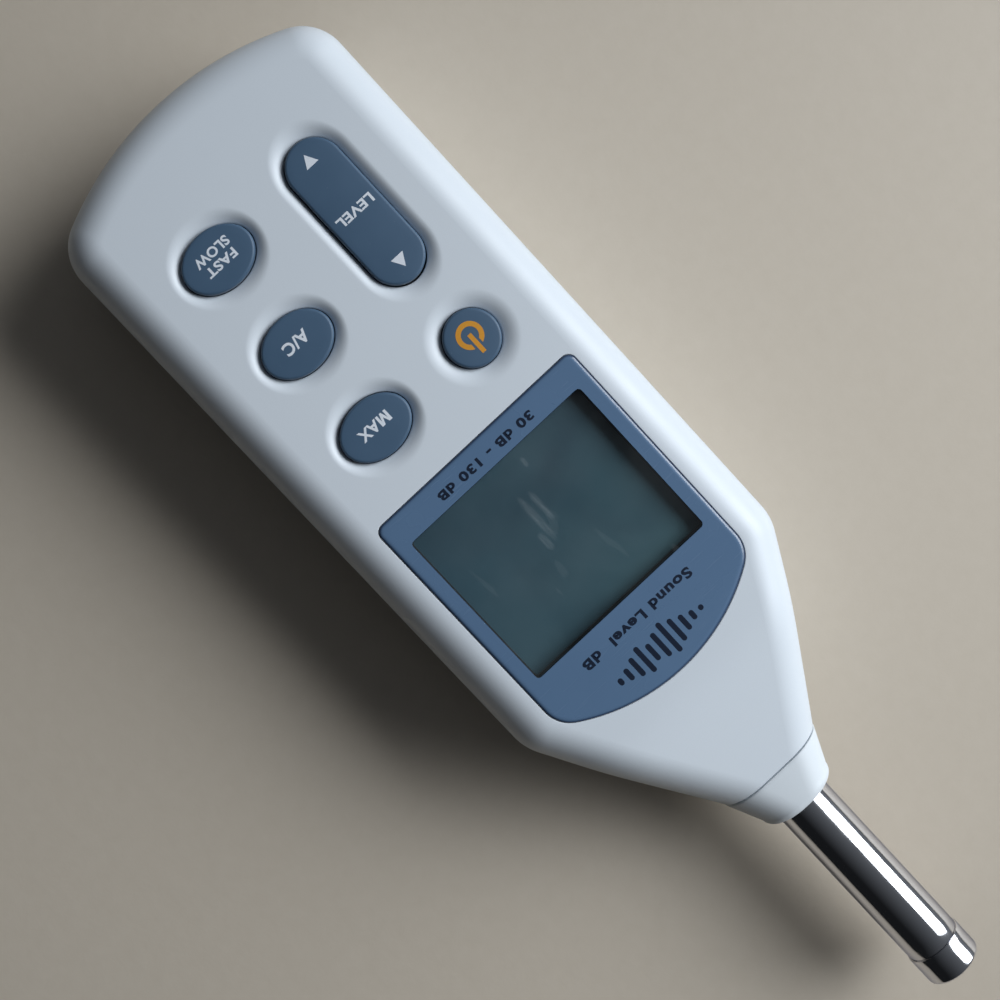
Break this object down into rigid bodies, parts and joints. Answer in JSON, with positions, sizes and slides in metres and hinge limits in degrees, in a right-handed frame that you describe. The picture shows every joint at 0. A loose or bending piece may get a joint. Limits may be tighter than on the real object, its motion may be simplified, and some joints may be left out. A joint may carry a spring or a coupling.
{
  "type": "sound level meter",
  "caption": "Hand-held sound level meter with a tapered housing, a chrome microphone tube, a deep-set display, push keys, a level rocker and a sliding battery door.",
  "frame": {"origin": "tripod thread axis where it meets the flat rear face the meter rests on", "axes": "+Y along the meter towards the microphone, +Z out of the display face, +X to the reader's right"},
  "size_m": [0.07, 0.247, 0.035],
  "materials": {
    "abs_white": "fine satin moulded",
    "panel_blue": "satin printed face, glossy bevel",
    "key_slate": "satin silicone with printed legends",
    "clear_pane": "clear acrylic, lightly smudged",
    "lcd_glass": "unlit display cell",
    "black_plastic": "moulded",
    "white_plastic": "diffusing",
    "board_green": "solder mask",
    "chrome": "polished plating",
    "steel": "plain",
    "brass": "turned",
    "carbon": "matte",
    "nickel": "nickel plated",
    "cell": "printed sleeve",
    "wire": "insulation",
    "elastomer": "matte",
    "acetal": "moulded",
    "trimmer_blue": "moulded"
  },
  "bodies": {
    "housing": {"front_cover": "abs_white", "rear_cover": "abs_white", "display_panel": "panel_blue", "window_pane": "clear_pane", "lcd_gasket": "carbon", "lcd_frame": "black_plastic", "lcd_glass": "lcd_glass", "lcd_backlight": "white_plastic", "zebra_strips": "elastomer", "main_board": "board_green", "microcontroller": "black_plastic", "board_parts": "black_plastic", "board_screws": "steel", "keypad_sheet": "key_slate", "rocker_pivot": "acetal", "nose_collar": "abs_white", "tube_seal": "carbon", "tube_nut": "steel", "mic_tube": "chrome", "mic_cap": "chrome", "mic_grid": "steel", "mic_capsule": "steel", "capsule_ring": "black_plastic", "preamp_board": "board_green", "mic_cable": "carbon", "batteries": "cell", "battery_springs": "nickel", "battery_plates": "nickel", "battery_wires": "wire", "tripod_insert": "brass", "case_screws": "steel", "output_jack": "black_plastic", "dc_jack": "black_plastic", "cal_trimmer": "trimmer_blue"},
    "power_button": {"power_key": "key_slate", "power_contact": "carbon"},
    "max_button": {"max_key": "key_slate", "max_contact": "carbon"},
    "weighting_button": {"weighting_key": "key_slate", "weighting_contact": "carbon"},
    "response_button": {"response_key": "key_slate", "response_contact": "carbon"},
    "level_rocker": {"level_key": "key_slate", "level_contacts": "carbon"},
    "door": {"battery_door": "abs_white"},
    "rotor": {"cal_rotor": "brass"}
  },
  "joints": [
    {"name": "power_press", "type": "slide", "parent": "housing", "child": "power_button", "axis": [0, 0, -1], "range_m": [0, 0.0008]},
    {"name": "max_press", "type": "slide", "parent": "housing", "child": "max_button", "axis": [0, 0, -1], "range_m": [0, 0.0008]},
    {"name": "weighting_press", "type": "slide", "parent": "housing", "child": "weighting_button", "axis": [0, 0, -1], "range_m": [0, 0.0008]},
    {"name": "response_press", "type": "slide", "parent": "housing", "child": "response_button", "axis": [0, 0, -1], "range_m": [0, 0.0008]},
    {"name": "level_rock", "type": "hinge", "parent": "housing", "child": "level_rocker", "pos_m": [-0.0139, -0.04272, 0.0279], "axis": [1, 0, 0], "range_deg": [-2.2, 2.2]},
    {"name": "door_slide", "type": "slide", "parent": "housing", "child": "door", "axis": [0, -1, 0], "range_m": [0, 0.008]},
    {"name": "cal_turn", "type": "hinge", "parent": "housing", "child": "rotor", "pos_m": [-0.031, 0.017, 0.0198], "axis": [-1, 0, 0], "range_deg": [-135, 135]}
  ]
}
